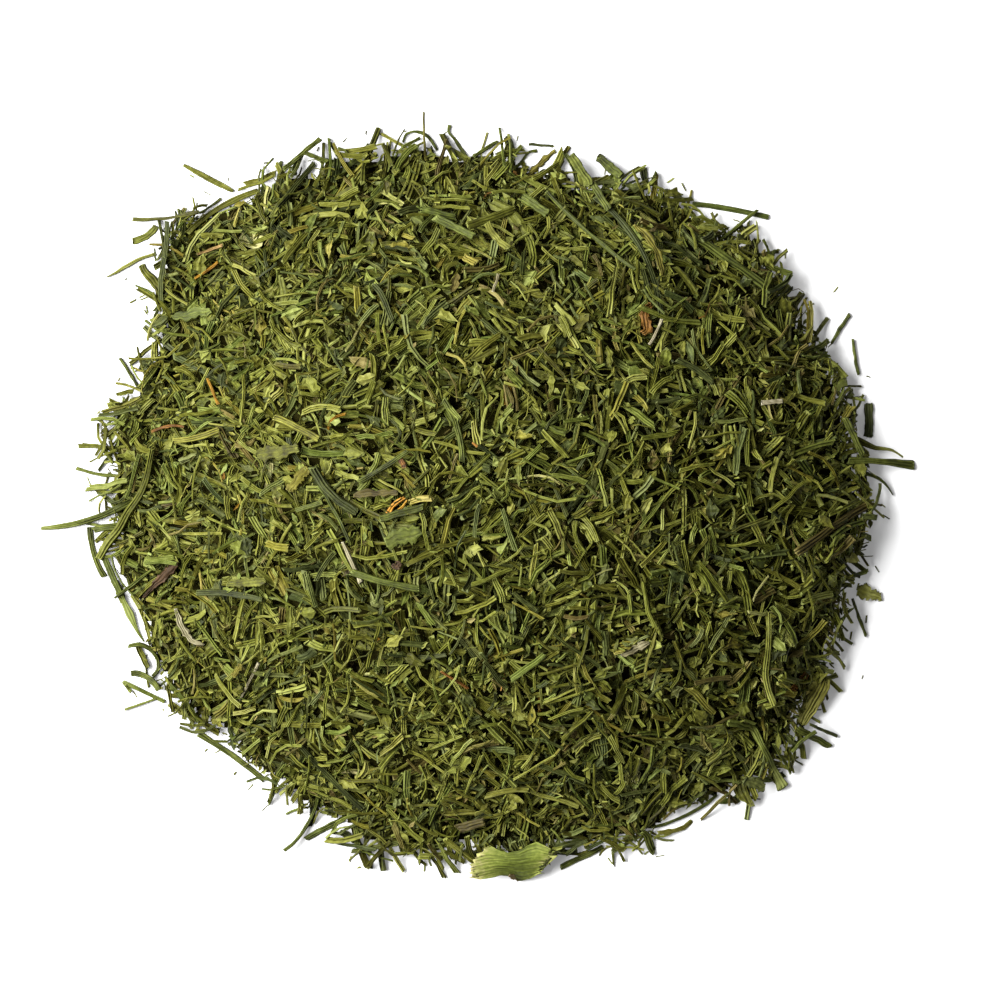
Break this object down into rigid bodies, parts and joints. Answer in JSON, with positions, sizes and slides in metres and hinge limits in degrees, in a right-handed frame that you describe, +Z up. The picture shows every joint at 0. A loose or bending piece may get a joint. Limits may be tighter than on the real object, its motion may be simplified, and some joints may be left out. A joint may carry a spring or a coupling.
{
  "type": "heap of dried dill",
  "caption": "Flat dome-shaped heap of dried, cut dill with loose stems and scraps around its rim; lies on a surface as dressing or food fill.",
  "frame": {"origin": "on the surface that the heap lies on, under the middle of its whole extent", "axes": "+Z up; +X to the right and +Y to the top of the heap as seen from above in the picture"},
  "size_m": [0.1088, 0.096, 0.0197],
  "materials": {
    "leaf_olive": "matt dried leaf, olive green with fine ribs along each flake",
    "stem_green": "matt to slightly silky dried stem, grooved along its length",
    "stem_dark": "matt dried stem, dark blue-green",
    "stem_brown": "matt withered stem, olive brown",
    "leaf_yellow": "matt dried leaf, yellow green",
    "stalk_pale": "fibrous pale stalk with torn cream edges",
    "straw_bleached": "bleached dry stem, straw coloured with a faint sheen",
    "petal_orange": "dry orange scrap, matt"
  },
  "bodies": {
    "root": {"heap": "leaf_olive", "stem_left_lower": "stem_green", "stem_left_long": "stem_green", "stem_left_cross": "stem_green", "twig_left_upper": "stem_green", "stick_lower_left": "stem_green", "curl_left": "stem_green", "stub_left_low": "stem_green", "forked_twig": "stem_green", "stem_rim_lower_left": "stem_green", "stub_bottom_left": "stem_green", "stem_bottom_left": "stem_green", "stick_left": "stem_green", "leaf_left_upper": "stem_green", "leaf_top_left": "stem_green", "twig_top_left": "stem_green", "curl_top": "stem_green", "twig_top_hook": "stem_green", "stick_top": "stem_green", "twig_top_bent": "stem_green", "stub_top_right": "stem_green", "stem_top_right": "stem_green", "stick_top_right": "stem_green", "stick_right_upper": "stem_green", "stick_right_tall": "stem_green", "stem_right_far": "stem_green", "twig_right": "stem_green", "stick_right_lower": "stem_green", "stem_flared": "stem_green", "stem_lower_right": "stem_green", "stub_bottom_right": "stem_green", "stick_bottom_right": "stem_green", "stick_bottom": "stem_green", "stem_wide_upper_right": "stem_green", "stick_top_left": "stem_dark", "stub_right_wide": "stem_dark", "leaf_right_curved": "stem_dark", "stem_right_thick": "stem_dark", "scrap_right": "stem_dark", "stick_lower_right": "stem_dark", "stem_long_lower_left": "stem_dark", "stem_dark_long": "stem_dark", "stem_left_thick": "stem_brown", "withered_leaf_left": "stem_brown", "split_stalk": "stem_brown", "stem_right_long": "stem_brown", "strip_left_upper": "leaf_yellow", "arch_top_left": "leaf_yellow", "thread_top_tall": "leaf_yellow", "leaf_top_yellow": "leaf_yellow", "leaf_yellow": "leaf_yellow", "stem_left_sheath": "stalk_pale", "stalk_collar": "stalk_pale", "bleached_hook": "straw_bleached", "bleached_sliver": "straw_bleached", "bleached_leaf": "straw_bleached", "orange_sliver_upper": "petal_orange", "orange_sliver_lower": "petal_orange", "rusty_scrap": "petal_orange"}
  },
  "joints": []
}
